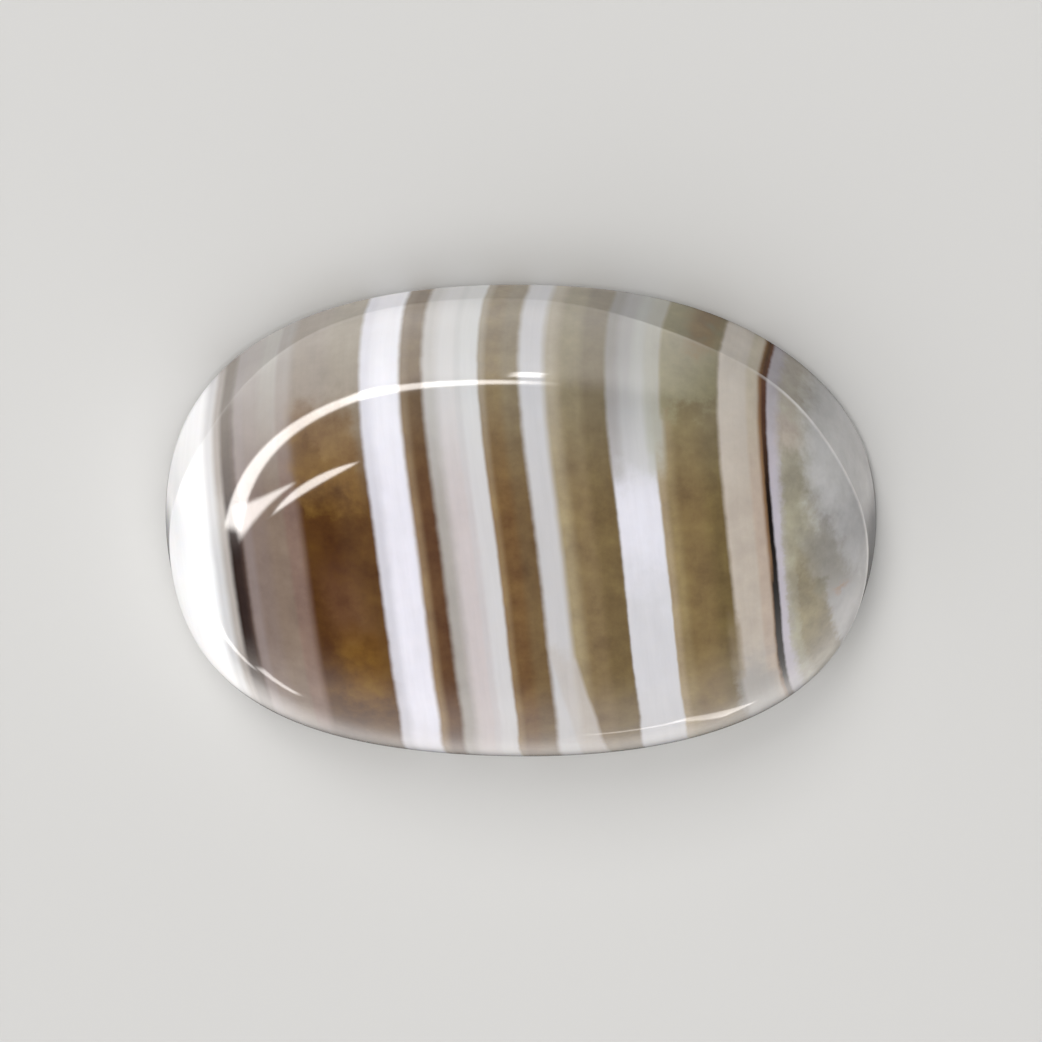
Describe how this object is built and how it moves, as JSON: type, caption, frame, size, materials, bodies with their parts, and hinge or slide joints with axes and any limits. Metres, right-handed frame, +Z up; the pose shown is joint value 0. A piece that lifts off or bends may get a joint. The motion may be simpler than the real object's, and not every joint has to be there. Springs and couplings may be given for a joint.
{
  "type": "banded agate cabochon",
  "caption": "Oval cabochon of banded agate: a flat back, a low side wall that leans in to a soft ridge, and a polished dome crossed by brown and white bands.",
  "frame": {"origin": "middle of the flat back that the stone rests on, under the middle of the outline's box", "axes": "+X along the stone's length, +Y across it towards the side with the widest band of wall, +Z up through the dome"},
  "size_m": [0.019, 0.013, 0.005],
  "materials": {
    "agate": "polished, banded brown and white"
  },
  "bodies": {
    "root": {"agate_cabochon": "agate"}
  },
  "joints": []
}
